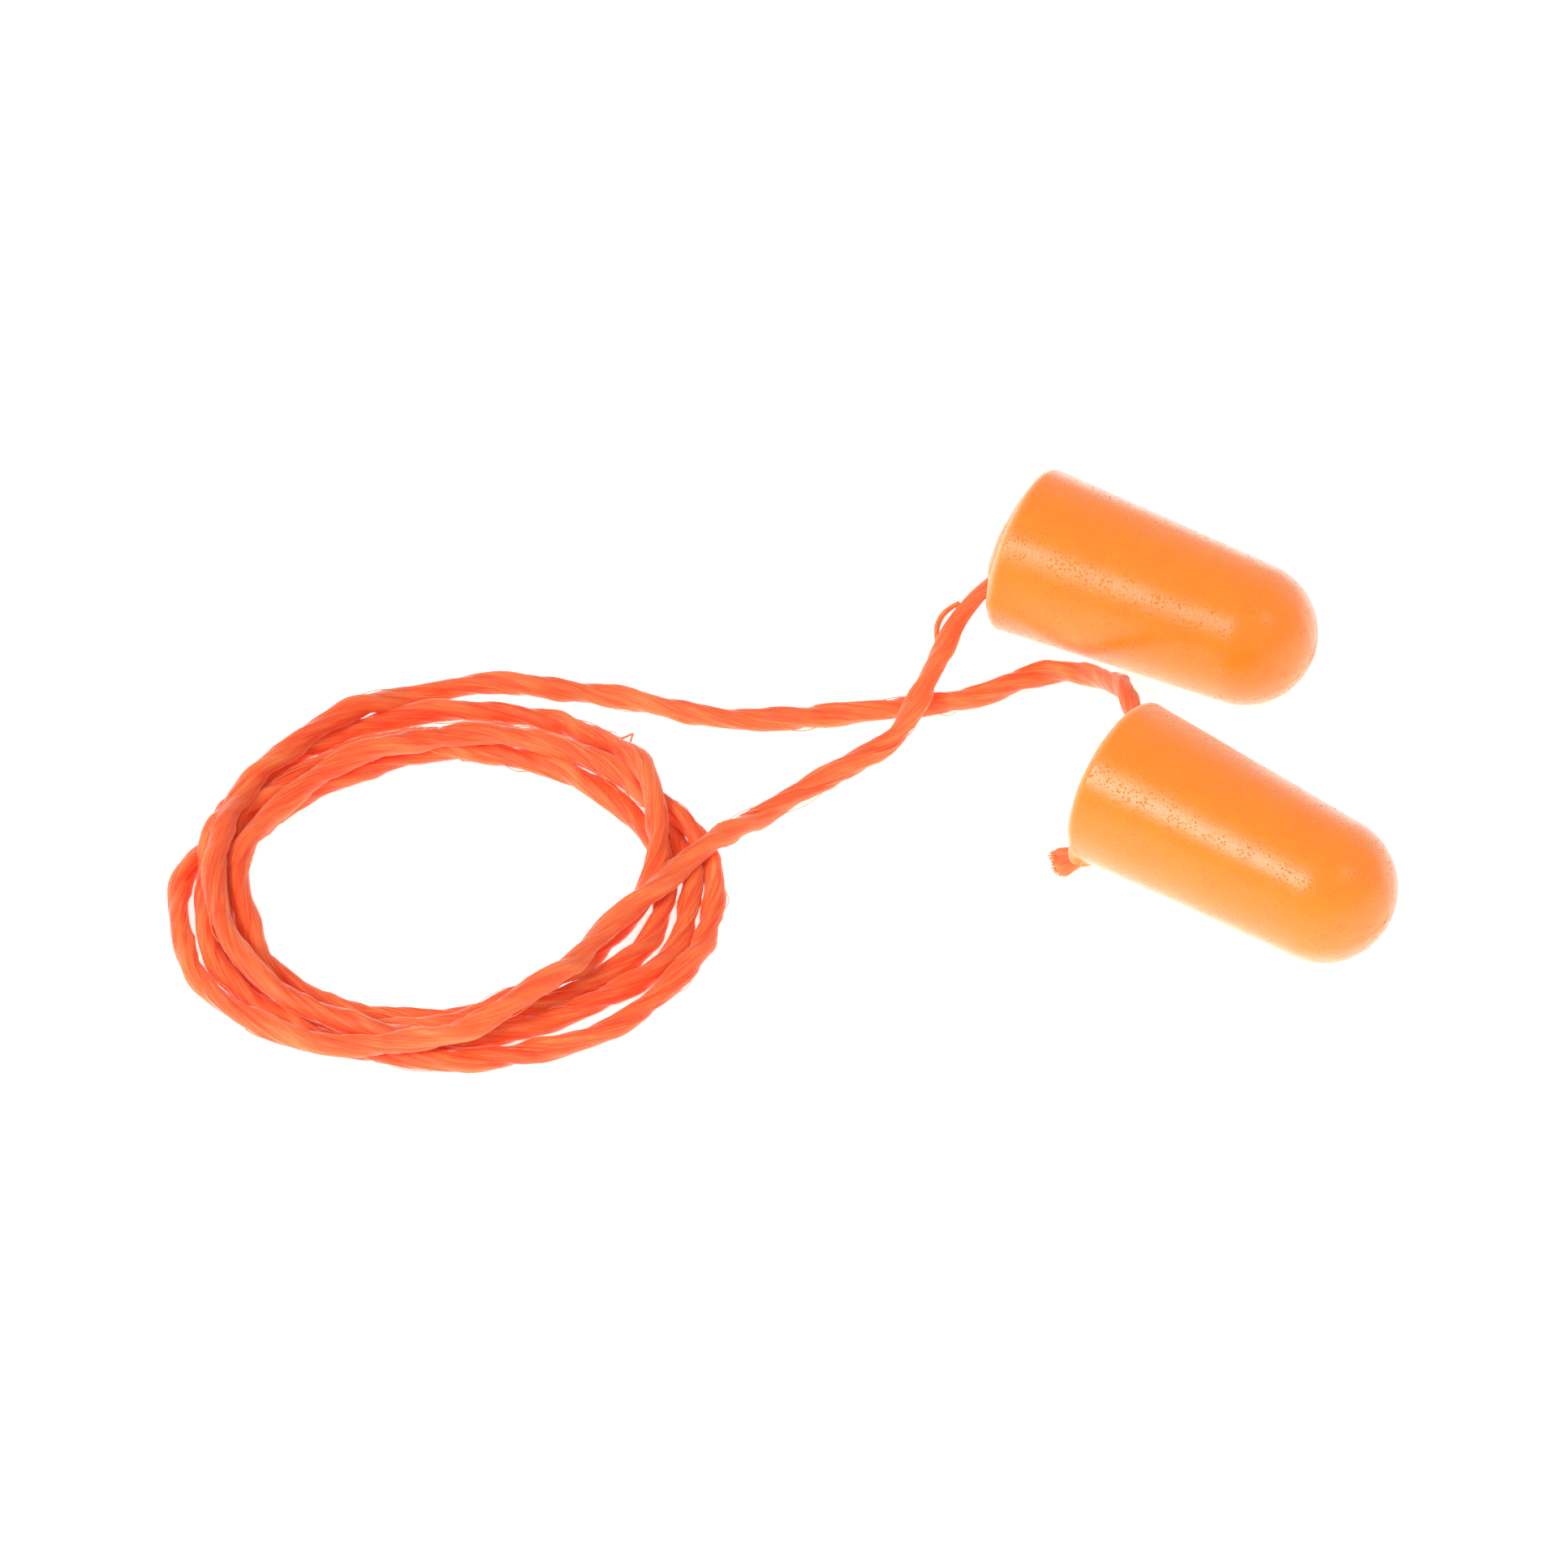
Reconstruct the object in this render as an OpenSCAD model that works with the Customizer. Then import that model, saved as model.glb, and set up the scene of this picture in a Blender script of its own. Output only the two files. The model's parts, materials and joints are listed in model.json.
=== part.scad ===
// Corded foam ear plugs: two tapered bullet-shaped plugs of soft foam, joined by one
// twisted cord that is threaded through a curved hole near each plug's base.
// Both plugs lie on their sides and the middle of the cord lies beside them as a coil.

/* [Foam plug] */
// Diameter of the flat base
base_d = 13; // [12:0.5:14]
// Length from the flat base to the tip of the dome
plug_l = 24.2; // [20:0.1:28]
// Angle between the side and the axis
taper = 3; // [1:0.5:5]
// Rounding of the corner between the base and the side
rim_r = 0.7; // [0.3:0.1:1]

/* [Cord] */
// Diameter of the free cord
cord_d = 1.9; // [1.6:0.1:2]
// Diameter of the cord where it is pinched by the foam at the mouth of the hole
pinch_d = 1.5; // [1.2:0.1:1.6]
// Diameter of the cord inside the foam
anchor_d = 1.5; // [1.2:0.1:1.6]
// Length of the cut end, measured from inside the rounded corner
tail_l = 1.9; // [1:0.1:3]

/* [Cord hole] */
// Distance from the plug's axis to the mouth that the cord goes in at
mouth_offset = 4.4; // [4:0.1:4.4]
// Radius of the puckered hollow at the mouth, in which the cord turns
pucker_r = 1.4; // [1.3:0.05:1.4]
// Angle between the hole and the base where it comes out at the corner
hole_slope = 50; // [40:1:55]
// How much smaller the hole's radius is than the cord's, so that the foam grips
grip = 0.05; // [0.02:0.01:0.1]

/* [Lay of the plugs] */
// Place of the far plug's base centre, left to right
far_x = -12.3; // [-12.8:0.1:-11.8]
// Place of the far plug's base centre, front to back
far_y = 17.9; // [17.7:0.1:18.4]
// Heading of the far plug's tip
far_heading = -26.5; // [-28:0.5:-25]
// Place of the near plug's base centre, left to right
near_x = -5.9; // [-6.2:0.1:-5.6]
// Place of the near plug's base centre, front to back
near_y = -7.3; // [-7.8:0.1:-6.8]
// Heading of the near plug's tip
near_heading = -34.5; // [-36:0.5:-33]

/* [Coil] */
// Place of the coil's centre, left to right
coil_x = -55.2; // [-56.2:0.5:-54.2]
// Place of the coil's centre, front to back
coil_y = -11.8; // [-12.8:0.5:-10.8]
// Radius of the open middle
coil_in_r = 12; // [11:0.5:13]
// Outer radius
coil_out_r = 21.4; // [21:0.1:22]
// Height of the turns where they lie on each other
coil_h = 4.6; // [4:0.1:5]
// Height at the coil's inner and outer edges, where one turn lies alone
coil_edge_h = 2; // [1.9:0.1:2.5]

/* [Hidden] */
$fn = 64;

base_r = base_d / 2;
cord_r = cord_d / 2;
anchor_r = anchor_d / 2;
pinch_r = pinch_d / 2;

// The dome is a sphere that the tapered side meets at a tangent, and so is the
// corner's rounding to the base and the side.
dome_r = (base_r * cos(taper) - plug_l * sin(taper)) / (1 - sin(taper));
dome_z = plug_l - dome_r;
rim_x = base_r - rim_r * tan(taper) - rim_r / cos(taper);

// A plug rests along its tapered side, so its axis dips towards the tip.
axis_height = base_r * cos(taper);

// The hole is an arc in a plane through the axis: in at the mouth, deepest near the
// axis, and out at the opposite corner of the base.
corner_offset = base_r - 0.1;
hole_bend_r = (mouth_offset + corner_offset) / 2 / sin(hole_slope);
hole_centre_x = (mouth_offset - corner_offset) / 2;
hole_centre_z = -hole_bend_r * cos(hole_slope);
mouth_angle = 90 - hole_slope;
corner_angle = 90 + hole_slope;
pucker_gap = 0.05;
anchor_start = mouth_angle + 2 * asin((pucker_r + pucker_gap) / 2 / hole_bend_r);
corner_inset = 3;
anchor_end = corner_angle - corner_inset;

// Which way round the axis the mouth lies, from the far side towards the top.
far_mouth = 180;
near_mouth = 45;

// Points where the short neck of cord at each mouth joins its lead.
far_bend = [-16.4, 14.1, 4.3];
near_bend = [-4.4, -1.9, 9.3];

// Routes of the two leads, from the neck's end to the coil. Both come down to the
// table, and the far plug's lead passes over the near plug's on its way.
tube_sides = 8;
far_route = [
    [-17, 13.3, 3.9],
    [-17.5, 12.1, 3.5],
    [-18.4, 10.1, 3.2],
    [-19.2, 7.7, 3.1],
    [-19.5, 6.5, 3.1],
    [-19.8, 5.5, 3],
    [-20.4, 4.4, 2.5],
    [-21.3, 3.1, 1.7],
    [-22.3, 2.1, 1.2],
    [-24, 1.1, 1],
    [-25.9, -0.5, 1],
    [-28, -2.4, 1],
    [-29.9, -3.7, 1],
    [-31.3, -5, 1.1],
    [-32.7, -6.5, 1.5],
    [-34.1, -8.4, 2.2]
];
near_route = [
    [-4.6, -0.9, 9],
    [-4.8, 0.4, 8.4],
    [-5.2, 1.7, 7.4],
    [-6, 4.5, 5.4],
    [-6.9, 7, 3.6],
    [-7.8, 8.7, 2.2],
    [-9.1, 9.7, 1.3],
    [-10.4, 9.8, 1],
    [-12.1, 9.3, 1],
    [-14.2, 8.2, 1],
    [-16.4, 7.2, 1],
    [-18.4, 6.6, 1],
    [-20.6, 6.2, 1],
    [-22.7, 6.1, 1],
    [-24.9, 5.8, 1],
    [-27.1, 5.5, 1],
    [-29.2, 4.9, 1],
    [-31.7, 4.8, 1],
    [-34.4, 5, 1],
    [-37.4, 5.7, 1],
    [-40.4, 6.6, 1],
    [-43.5, 7.4, 1],
    [-46.2, 8.1, 1],
    [-48.7, 8.5, 1]
];

// Puts what is drawn along +Z, with its base at the origin, where a plug lies.
module lay(x, y, heading) {
    translate([x, y, axis_height]) rotate([0, 0, heading]) rotate([0, 90 + taper, 0]) children();
}

// Turns what is drawn in the hole's own plane to the side of the axis the mouth is on.
module to_mouth(mouth) {
    rotate([0, 0, 90 + mouth]) children();
}

// Place of a plug's mouth in the whole object.
function mouth_place(x, y, heading, mouth) =
    let(
        far_side = [-sin(heading), cos(heading), 0],
        top_side = [sin(taper) * cos(heading), sin(taper) * sin(heading), cos(taper)]
    )
    [x, y, axis_height] + mouth_offset * (cos(mouth) * far_side + sin(mouth) * top_side);

// Half outline of a plug: flat base, rounded corner, tapered side and dome.
module plug_outline() {
    corner_x = rim_x + rim_r * cos(taper);
    corner_z = rim_r + rim_r * sin(taper);
    shoulder_x = dome_r * cos(taper);
    shoulder_z = dome_z + dome_r * sin(taper);
    intersection() {
        union() {
            polygon([[0, 0], [rim_x, 0], [corner_x, corner_z], [shoulder_x, shoulder_z], [0, shoulder_z]]);
            translate([rim_x, rim_r]) circle(rim_r);
            translate([0, dome_z]) circle(dome_r);
        }
        square([base_d, plug_l + dome_r]);
    }
}

// Part of a ring of cord or of hole that follows the arc through the foam.
module arc_rod(r, from, to) {
    translate([hole_centre_x, 0, hole_centre_z])
        rotate([90, 0, 0])
            rotate_extrude(angle = to - from, start = from)
                translate([hole_bend_r, 0]) circle(r);
}

// One plug with its hole and the hollow at the mouth.
module foam_plug(mouth) {
    difference() {
        rotate_extrude() plug_outline();
        to_mouth(mouth) arc_rod(anchor_r - grip, mouth_angle, corner_angle + 2 * corner_inset);
        to_mouth(mouth) translate([mouth_offset, 0, 0]) sphere(pucker_r);
    }
}

// The stretch of cord that the foam holds.
module cord_anchor(mouth) {
    to_mouth(mouth) arc_rod(anchor_r, anchor_start, anchor_end);
}

// The cut end of the cord that sticks out at the corner.
module cord_tail(mouth) {
    to_mouth(mouth)
        translate([hole_centre_x, 0, hole_centre_z])
            rotate([0, -anchor_end, 0])
                translate([hole_bend_r, 0, 0])
                    cylinder(h = tail_l, r = anchor_r);
}

// Half outline of a neck: a small ball and a large one, with a side that touches both.
module neck_outline(length) {
    flare = asin((cord_r - pinch_r) / length);
    intersection() {
        union() {
            circle(pinch_r);
            translate([0, length]) circle(cord_r);
            polygon([
                [0, -pinch_r * sin(flare)],
                [pinch_r * cos(flare), -pinch_r * sin(flare)],
                [cord_r * cos(flare), length - cord_r * sin(flare)],
                [0, length - cord_r * sin(flare)]
            ]);
        }
        translate([0, -cord_r]) square([cord_d, length + cord_d]);
    }
}

// The short stretch between a mouth and a lead: round at both ends, where it turns.
module cord_neck(mouth_end, bend_end) {
    span = bend_end - mouth_end;
    lean = acos(span[2] / norm(span));
    heading = atan2(span[1], span[0]);
    translate(mouth_end) rotate([0, lean, heading]) rotate_extrude() neck_outline(norm(span));
}

function unit(v) = v / norm(v);

function tangent(route, i) = unit(route[min(i + 1, len(route) - 1)] - route[max(i - 1, 0)]);

// Ring i of a tube: points round the route, with a flat side down.
function tube_ring(route, i) =
    let(
        ahead = tangent(route, i),
        side = unit(cross(ahead, [0, 0, 1])),
        rise = cross(side, ahead)
    )
    [
        for (k = [0 : tube_sides - 1])
            let(a = (k + 0.5) * 360 / tube_sides)
            route[i] + cord_r * (cos(a) * side + sin(a) * rise)
    ];

// A lead: rings round every point of its route, joined by triangles and closed by caps.
module cord_lead(route) {
    last = len(route) - 1;
    rings = [for (i = [0 : last]) each tube_ring(route, i)];
    walls = [
        for (i = [0 : last - 1])
            for (k = [0 : tube_sides - 1])
                let(
                    a = i * tube_sides + k,
                    b = i * tube_sides + (k + 1) % tube_sides,
                    c = a + tube_sides,
                    d = b + tube_sides
                )
                each [[a, b, c], [b, d, c]]
    ];
    start_cap = [for (k = [tube_sides - 1 : -1 : 0]) k];
    end_cap = [for (k = [0 : tube_sides - 1]) last * tube_sides + k];
    polyhedron(points = rings, faces = concat(walls, [start_cap, end_cap]));
}

module foam_plug_far() {
    color("orange") lay(far_x, far_y, far_heading) foam_plug(far_mouth);
}

module foam_plug_near() {
    color("orange") lay(near_x, near_y, near_heading) foam_plug(near_mouth);
}

module cord_anchor_far() {
    color("tomato") lay(far_x, far_y, far_heading) cord_anchor(far_mouth);
}

module cord_anchor_near() {
    color("tomato") lay(near_x, near_y, near_heading) cord_anchor(near_mouth);
}

module cord_tail_far() {
    color("tomato") lay(far_x, far_y, far_heading) cord_tail(far_mouth);
}

module cord_tail_near() {
    color("tomato") lay(near_x, near_y, near_heading) cord_tail(near_mouth);
}

module cord_neck_far() {
    color("tomato") cord_neck(mouth_place(far_x, far_y, far_heading, far_mouth), far_bend);
}

module cord_neck_near() {
    color("tomato") cord_neck(mouth_place(near_x, near_y, near_heading, near_mouth), near_bend);
}

module cord_lead_far() {
    color("tomato") cord_lead(far_route);
}

module cord_lead_near() {
    color("tomato") cord_lead(near_route);
}

// The outer shape of the coiled middle of the cord, flat where it lies on the table.
module cord_coil() {
    color("tomato")
        translate([coil_x, coil_y, 0])
            rotate_extrude()
                polygon([
                    [coil_in_r, 0],
                    [coil_out_r, 0],
                    [coil_out_r, coil_edge_h],
                    [coil_out_r - coil_edge_h, coil_h],
                    [coil_in_r + coil_edge_h, coil_h],
                    [coil_in_r, coil_edge_h]
                ]);
}

foam_plug_far();
foam_plug_near();
cord_anchor_far();
cord_anchor_near();
cord_tail_far();
cord_tail_near();
cord_neck_far();
cord_neck_near();
cord_lead_far();
cord_lead_near();
cord_coil();
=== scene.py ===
"""Corded foam ear plugs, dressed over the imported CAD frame.

Two tapered plugs of soft foam lie on their sides, joined by one loosely twisted cord
whose middle lies coiled beside them. Every length is in metres.
"""

import json
import logging
import math
from dataclasses import dataclass, field
from enum import Enum
from typing import Any, Mapping, Sequence

import bpy
import numpy as np
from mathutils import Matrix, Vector

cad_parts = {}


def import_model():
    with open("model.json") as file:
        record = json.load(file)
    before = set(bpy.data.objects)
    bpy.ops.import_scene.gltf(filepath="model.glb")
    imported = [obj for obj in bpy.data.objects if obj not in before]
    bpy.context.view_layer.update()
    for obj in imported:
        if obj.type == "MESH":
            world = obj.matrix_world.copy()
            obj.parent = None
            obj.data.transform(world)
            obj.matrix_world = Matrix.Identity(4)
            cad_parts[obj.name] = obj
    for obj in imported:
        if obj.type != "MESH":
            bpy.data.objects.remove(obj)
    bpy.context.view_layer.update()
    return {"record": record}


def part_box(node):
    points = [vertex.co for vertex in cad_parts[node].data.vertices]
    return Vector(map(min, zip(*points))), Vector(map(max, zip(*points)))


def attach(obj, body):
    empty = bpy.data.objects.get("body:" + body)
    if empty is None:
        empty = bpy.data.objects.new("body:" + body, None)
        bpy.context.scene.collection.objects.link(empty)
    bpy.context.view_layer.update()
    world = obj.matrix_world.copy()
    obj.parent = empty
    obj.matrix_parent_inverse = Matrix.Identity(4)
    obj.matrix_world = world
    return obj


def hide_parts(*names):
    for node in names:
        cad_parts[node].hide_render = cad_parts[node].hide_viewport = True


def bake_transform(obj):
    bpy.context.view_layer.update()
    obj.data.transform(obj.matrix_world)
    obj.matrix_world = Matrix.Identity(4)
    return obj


LOG = logging.getLogger("ear_plugs")
MM = 0.001
TURN = 2 * math.pi

# The waves in a ripple: each one's height, its turns in one turn of the longest, and how
# many times the ripple's phase it is moved by.
RIPPLE_WAVES = ((1.0, 1.0, 1.0), (0.6, 1.73, 2.1), (0.4, 2.87, 0.7))


class Side(Enum):
    """Which of the two plugs, by the ending of its nodes' names."""

    FAR = "far"
    NEAR = "near"


# --- Lines and surfaces ---


def unit(vectors: np.ndarray) -> np.ndarray:
    """Vectors of length one along the last axis."""
    return vectors / np.linalg.norm(vectors, axis=-1, keepdims=True)


def run_along(line: np.ndarray) -> np.ndarray:
    """Distance of each point of a line from its first, measured along the line."""
    return np.concatenate([[0.0], np.cumsum(np.linalg.norm(np.diff(line, axis=0), axis=1))])


def smooth_line(points: np.ndarray, spacing: float) -> np.ndarray:
    """A smooth line through given points, with evenly spaced points of its own.

    Between two points it is the cubic that leaves each of them parallel to the chord
    that joins that point's neighbours.

    Args:
        points: The points to pass through, one a row.
        spacing: Distance between the new points.

    Returns:
        The new points, one a row.
    """
    ends = np.vstack([2 * points[0] - points[1], points, 2 * points[-1] - points[-2]])
    share = np.linspace(0, 1, 24, endpoint=False)[None, :, None]
    a, b, c, d = (ends[i : len(ends) - 3 + i, None, :] for i in range(4))
    cubic = 0.5 * (
        2 * b
        + (c - a) * share
        + (2 * a - 5 * b + 4 * c - d) * share**2
        + (3 * b - a - 3 * c + d) * share**3
    )
    return evenly(np.vstack([cubic.reshape(-1, 3), points[-1]]), spacing)


def evenly(line: np.ndarray, spacing: float) -> np.ndarray:
    """The same line with its points moved to equal distances along it.

    Args:
        line: Points, one a row.
        spacing: Distance wanted between the points.

    Returns:
        The new points, one a row.
    """
    run = run_along(line)
    at = np.linspace(0, run[-1], round(run[-1] / spacing) + 1)
    return np.column_stack([np.interp(at, run, line[:, axis]) for axis in range(3)])


def relaxed(line: np.ndarray, times: int) -> np.ndarray:
    """The line with each point moved halfway to the middle of its neighbours, that many times."""
    line = line.copy()
    for _ in range(times):
        line[1:-1] += 0.25 * (line[:-2] - 2 * line[1:-1] + line[2:])
    return line


def ripple(along: np.ndarray, wavelength: float, phase: float = 0.0) -> np.ndarray:
    """An uneven wave between -1 and 1: three sines whose lengths don't share a multiple.

    Args:
        along: Where to take the wave, in the unit of wavelength.
        wavelength: Length of the longest of the three waves.
        phase: Moves the wave along, so that two ripples differ.

    Returns:
        The wave's value at each place.
    """
    turn = TURN * along / wavelength
    waves = sum(height * np.sin(rate * turn + lag * phase) for height, rate, lag in RIPPLE_WAVES)
    return waves / sum(height for height, _, _ in RIPPLE_WAVES)


def smoothstep(low: float, high: float, value: np.ndarray) -> np.ndarray:
    """0 below low, 1 above high, and a smooth rise between them."""
    share = np.clip((value - low) / (high - low), 0, 1)
    return share * share * (3 - 2 * share)


@dataclass
class Surface:
    """A closed surface on a grid: rings of points with a pole at each end.

    Attributes:
        rings: Points, ring by ring, of shape (rings, columns, 3), in the row frame.
        first_pole: The point that closes the first ring.
        last_pole: The point that closes the last ring.
        values: What the material reads, as arrays over the grid: numbers of shape
            (rings, columns) or vectors of shape (rings, columns, 3).
    """

    rings: np.ndarray
    first_pole: np.ndarray
    last_pole: np.ndarray
    values: dict[str, np.ndarray] = field(default_factory=dict)

    def faces(self) -> tuple[np.ndarray, np.ndarray]:
        """Corner numbers of the quads between rings and of the triangles at the poles.

        Returns:
            The quads, four corners a row, and the triangles, three a row. Seen from
            outside they turn to the left when the rings turn right-handedly about the
            way from the first ring to the last.
        """
        count, columns = self.rings.shape[:2]
        index = np.arange(count * columns).reshape(count, columns)
        after = np.roll(index, -1, axis=1)
        quads = np.stack([index[:-1], after[:-1], after[1:], index[1:]], axis=-1).reshape(-1, 4)
        start, end = count * columns, count * columns + 1
        first = np.stack([np.full(columns, start), after[0], index[0]], axis=-1)
        last = np.stack([np.full(columns, end), index[-1], after[-1]], axis=-1)
        return quads, np.vstack([first, last])

    def build(self, name: str, material: bpy.types.Material) -> bpy.types.Object:
        """Makes the mesh object, with its values as point attributes.

        Args:
            name: The piece's name.
            material: Its finish.

        Returns:
            The new object, at the origin, with its place in its mesh.
        """
        points = np.vstack([self.rings.reshape(-1, 3), self.first_pole[None], self.last_pole[None]])
        return mesh_piece(name, points, self.faces(), self.values_with_poles(), material)

    def values_with_poles(self) -> dict[str, np.ndarray]:
        """The values as flat arrays, each pole taking its ring's mean."""
        flat = {}
        for name, value in self.values.items():
            ends = [value[0].mean(axis=0)[None], value[-1].mean(axis=0)[None]]
            flat[name] = np.concatenate([value.reshape(-1, *value.shape[2:]), *ends])
        return flat


def mesh_piece(
    name: str,
    points: np.ndarray,
    faces: Sequence[np.ndarray],
    values: Mapping[str, np.ndarray],
    material: bpy.types.Material,
) -> bpy.types.Object:
    """Puts points and faces into a smooth mesh object.

    Args:
        name: The piece's name.
        points: Corner points, one a row.
        faces: Arrays of corner numbers, one face a row, each array with its own number
            of corners a face.
        values: Attributes over the points: numbers or vectors.
        material: The piece's finish.

    Returns:
        The new object, linked to the scene.
    """
    mesh = bpy.data.meshes.new(name)
    loops = np.concatenate([group.ravel() for group in faces]).astype(np.int32)
    sizes = np.concatenate([np.full(len(group), group.shape[1]) for group in faces]).astype(np.int32)
    mesh.vertices.add(len(points))
    mesh.vertices.foreach_set("co", points.astype(np.float32).ravel())
    mesh.loops.add(len(loops))
    mesh.loops.foreach_set("vertex_index", loops)
    mesh.polygons.add(len(sizes))
    mesh.polygons.foreach_set("loop_start", np.concatenate([[0], np.cumsum(sizes)[:-1]]).astype(np.int32))
    mesh.update(calc_edges=True)
    mesh.polygons.foreach_set("use_smooth", np.ones(len(sizes), dtype=bool))
    for attribute, value in values.items():
        kind, key = ("FLOAT_VECTOR", "vector") if value.ndim == 2 else ("FLOAT", "value")
        mesh.attributes.new(attribute, kind, "POINT").data.foreach_set(key, value.astype(np.float32).ravel())
    mesh.validate()
    mesh.materials.append(material)
    piece = bpy.data.objects.new(name, mesh)
    bpy.context.scene.collection.objects.link(piece)
    return piece


# --- Shader nodes ---


class Value:
    """A number in a shader, on which Python's operators add Math nodes."""

    def __init__(self, bench: "Bench", socket: bpy.types.NodeSocket) -> None:
        """Wraps an output socket of a node on the bench."""
        self.bench = bench
        self.socket = socket

    def maths(self, operation: str, *terms: Any) -> "Value":
        """A Math node on these terms, in this order."""
        node = self.bench.node("ShaderNodeMath", {"operation": operation}, dict(enumerate(terms)))
        return Value(self.bench, node.outputs[0])

    def __add__(self, other: Any) -> "Value":
        """self + other."""
        return self.maths("ADD", self, other)

    __radd__ = __add__

    def __sub__(self, other: Any) -> "Value":
        """self - other."""
        return self.maths("SUBTRACT", self, other)

    def __rsub__(self, other: Any) -> "Value":
        """other - self."""
        return self.maths("SUBTRACT", other, self)

    def __mul__(self, other: Any) -> "Value":
        """self * other."""
        return self.maths("MULTIPLY", self, other)

    __rmul__ = __mul__

    def between(self, low: float, high: float) -> "Value":
        """0 where self is at low, 1 where it is at high, with a smooth rise."""
        settings = {"interpolation_type": "SMOOTHSTEP"}
        sockets = {"Value": self, "From Min": low, "From Max": high}
        return Value(self.bench, self.bench.node("ShaderNodeMapRange", settings, sockets).outputs[0])


class Bench:
    """One material's node tree, and the tools to fill it."""

    def __init__(self, name: str) -> None:
        """Starts an empty material with that name."""
        self.material = bpy.data.materials.new(name)
        self.material.use_nodes = True
        self.tree = self.material.node_tree
        self.tree.nodes.clear()

    def node(
        self,
        kind: str,
        settings: Mapping[str, Any] | None = None,
        sockets: Mapping[str | int, Any] | None = None,
    ) -> bpy.types.Node:
        """Adds a node.

        Args:
            kind: Its Blender type.
            settings: Its own properties, which are set first.
            sockets: What goes into its inputs, by name or number: a link or a value.

        Returns:
            The new node.
        """
        made = self.tree.nodes.new(kind)
        for key, value in (settings or {}).items():
            setattr(made, key, value)
        for key, value in (sockets or {}).items():
            if isinstance(value, Value):
                self.tree.links.new(value.socket, made.inputs[key])
            elif isinstance(value, bpy.types.NodeSocket):
                self.tree.links.new(value, made.inputs[key])
            else:
                made.inputs[key].default_value = value
        return made

    def attribute(self, name: str, output: str = "Fac") -> Value:
        """A value that the mesh carries at its points."""
        node = self.node("ShaderNodeAttribute", {"attribute_name": name})
        return Value(self, node.outputs[output])

    def noise(self, where: Any, scale: float, detail: float = 2.0, rough: float = 0.5) -> Value:
        """Cloudy noise between 0 and 1 at the given coordinates."""
        sockets = {"Vector": where, "Scale": scale, "Detail": detail, "Roughness": rough}
        return Value(self, self.node("ShaderNodeTexNoise", None, sockets).outputs[0])

    def mixed(self, factor: Any, first: Any, second: Any) -> bpy.types.NodeSocket:
        """A colour between two others: the first at 0 and the second at 1."""
        colours = {0: factor, 6: rgba(first), 7: rgba(second)}
        return self.node("ShaderNodeMix", {"data_type": "RGBA"}, colours).outputs[2]

    def bumped(self, height: Value, depth: float) -> bpy.types.NodeSocket:
        """Normals of the surface raised by height times depth."""
        sockets = {"Height": height, "Distance": depth, "Strength": 1.0}
        return self.node("ShaderNodeBump", None, sockets).outputs[0]

    def finish(self, sockets: Mapping[str, Any]) -> bpy.types.Material:
        """Ends the tree in one Principled shader with these inputs."""
        shader = self.node("ShaderNodeBsdfPrincipled", None, sockets)
        self.node("ShaderNodeOutputMaterial", None, {"Surface": shader.outputs[0]})
        return self.material


def rgba(colour: Any) -> Any:
    """A colour with its alpha, or the link or node value that was given."""
    return (*colour, 1.0) if isinstance(colour, tuple) and len(colour) == 3 else colour


@dataclass(frozen=True)
class FoamFinish:
    """Soft slow-recovery foam: a satin skin with fine pores, paler where it is cut, with painted shade in
    its pores and a faint painted glow.
    """

    deep: tuple[float, float, float] = (0.98, 0.222, 0.008)
    body: tuple[float, float, float] = (0.99, 0.238, 0.010)
    pale: tuple[float, float, float] = (1.0, 0.5, 0.2)
    # Colour of a painted glow: the foam gives off a little light of its own, though it is no lamp.
    glow: tuple[float, float, float] = (1.0, 0.2, 0.01)
    pore_scale: float = 3900.0
    grain_scale: float = 5600.0
    relief: float = 0.07 * MM

    def material(self) -> bpy.types.Material:
        """Builds the material.

        Returns:
            A material that reads Object coordinates and the attributes "edge" (1 on the
            rounded rim) and "cut" (1 on the cut base).
        """
        bench = Bench("soft_foam")
        place = bench.node("ShaderNodeTexCoord").outputs["Object"]
        clouds = bench.noise(place, 420.0, 3.0)
        grain = bench.noise(place, self.grain_scale, 3.0, 0.65)
        cells = bench.node("ShaderNodeTexVoronoi", None, {"Vector": place, "Scale": self.pore_scale})
        chosen = bench.noise(place, 900.0, 1.0).between(0.4, 0.6)
        pores = (1 - Value(bench, cells.outputs["Distance"]).between(0.1, 0.36)) * chosen
        edge = bench.attribute("edge")
        cut = bench.attribute("cut")
        tone = bench.mixed(clouds.between(0.32, 0.68), self.deep, self.body)
        # Pores are tinted towards the deep tone: painted shade in the pits.
        tone = bench.mixed(pores * 0.35, tone, self.deep)
        colour = bench.mixed((edge * 0.75 + cut * 0.45) * grain.between(0.1, 0.6), tone, self.pale)
        height = grain * 0.3 - pores * (0.75 + cut * 0.45)
        return bench.finish(
            {
                "Base Color": colour,
                "Roughness": 0.22 + 0.08 * grain + 0.3 * pores,
                "Normal": bench.bumped(height, self.relief),
                "IOR": 1.5,
                "Subsurface Weight": 0.12,
                "Subsurface Radius": (1.0, 0.4, 0.1),
                "Subsurface Scale": 0.5 * MM,
                "Sheen Weight": 0.8,
                "Sheen Roughness": 0.4,
                "Sheen Tint": (0.92, 0.98, 0.92, 1.0),
                # Painted glow: the foam emits a little orange light, though it is no lamp.
                "Emission Color": rgba(self.glow),
                "Emission Strength": 0.15,
            }
        )


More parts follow.
